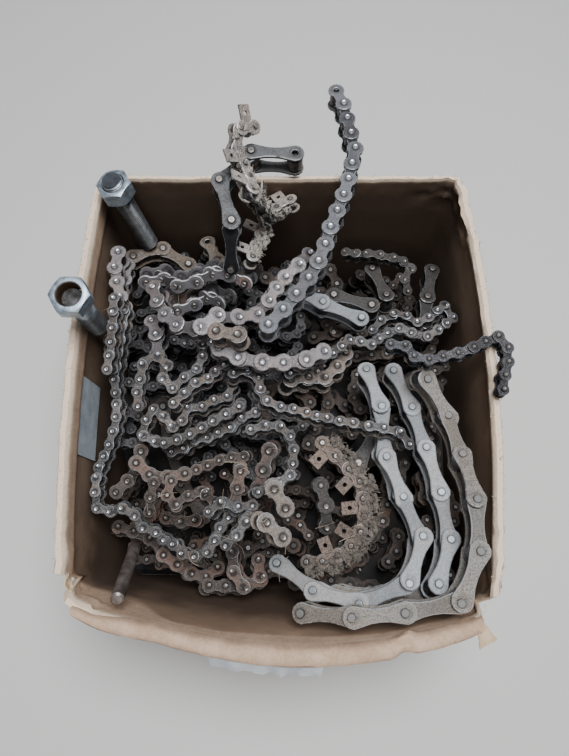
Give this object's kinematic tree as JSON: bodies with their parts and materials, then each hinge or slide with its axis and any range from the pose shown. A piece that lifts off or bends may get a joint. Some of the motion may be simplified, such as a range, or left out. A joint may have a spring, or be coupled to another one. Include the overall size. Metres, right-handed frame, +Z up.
{
  "type": "heap of roller chain",
  "caption": "Cardboard carton heaped with tangled lengths of oily steel roller chain in several pitches, with threaded studs, nuts and a rusty pin.",
  "frame": {"origin": "middle of the carton's flat bottom face", "axes": "+Z up out of the carton, +X to the right and +Y to the back as seen from the side with the torn, folded front flap"},
  "size_m": [0.3929, 0.5371, 0.279],
  "materials": {
    "board": "bare kraft board, frayed at the rim",
    "hidden_chain": "oily and dark",
    "chain_small_steel": "dark oiled steel with bright pin heads",
    "chain_medium_steel": "worn grey steel with grime and bright pin heads",
    "chain_worn_steel": "brown with rust and caked grease",
    "chain_big_steel": "dull grey with dried dust",
    "chain_dark_steel": "blue-grey scale under oil",
    "chain_long_steel": "tan-grey with dust",
    "chain_tabbed_steel": "caked in pale dust and straw",
    "zinc": "zinc-plated, slightly oily",
    "pin_rust": "purple-brown rust"
  },
  "bodies": {
    "root": {"carton": "board", "hidden_heap": "hidden_chain", "stud_back": "zinc", "nut_back": "zinc", "stud_left": "zinc", "nut_left": "zinc", "loose_pin": "pin_rust", "chain_big_dark": "chain_dark_steel", "chain_big_right": "chain_dark_steel", "chain_long_left": "chain_long_steel", "chain_long_back": "chain_long_steel", "chain_small_right_back": "chain_small_steel", "chain_medium_wall": "chain_medium_steel", "chain_medium_low_edge": "chain_medium_steel", "chain_medium_on_edge": "chain_medium_steel", "chain_big_lowest": "chain_big_steel", "chain_big_under": "chain_dark_steel", "chain_big_shadow": "chain_dark_steel", "chain_medium_inside": "chain_medium_steel", "chain_big_inner": "chain_big_steel", "chain_big_middle": "chain_big_steel", "chain_big_outer": "chain_big_steel", "chain_big_crossing": "chain_big_steel", "chain_small_floor": "chain_small_steel", "chain_worn_left": "chain_worn_steel", "chain_worn_middle": "chain_worn_steel", "chain_worn_front": "chain_worn_steel", "chain_worn_valley": "chain_worn_steel", "chain_worn_lowest": "chain_worn_steel", "chain_worn_rusty": "chain_worn_steel", "chain_worn_upright": "chain_worn_steel", "chain_worn_loop": "chain_worn_steel", "chain_medium_corner": "chain_medium_steel", "chain_small_edge": "chain_small_steel", "chain_small_corner": "chain_small_steel", "chain_small_brown": "chain_worn_steel", "chain_medium_brown": "chain_worn_steel", "chain_small_hook": "chain_small_steel", "chain_small_low": "chain_small_steel", "chain_small_ring": "chain_small_steel", "chain_small_knot": "chain_small_steel", "chain_small_second": "chain_small_steel", "chain_small_turn": "chain_small_steel", "chain_small_left": "chain_small_steel", "chain_small_diagonal": "chain_small_steel", "chain_small_front": "chain_small_steel", "chain_medium_left": "chain_medium_steel", "chain_medium_dusty": "chain_medium_steel", "chain_medium_curl": "chain_medium_steel", "chain_medium_curl_low": "chain_medium_steel", "chain_small_loop": "chain_small_steel", "chain_small_over_rim": "chain_small_steel", "chain_medium_cross": "chain_medium_steel", "chain_medium_under": "chain_medium_steel", "chain_medium_top": "chain_medium_steel", "chain_tabbed_back": "chain_tabbed_steel", "chain_big_back": "chain_dark_steel", "chain_tabbed_top": "chain_tabbed_steel", "chain_medium_riser": "chain_medium_steel", "chain_tabbed_straw": "chain_tabbed_steel"}
  },
  "joints": []
}
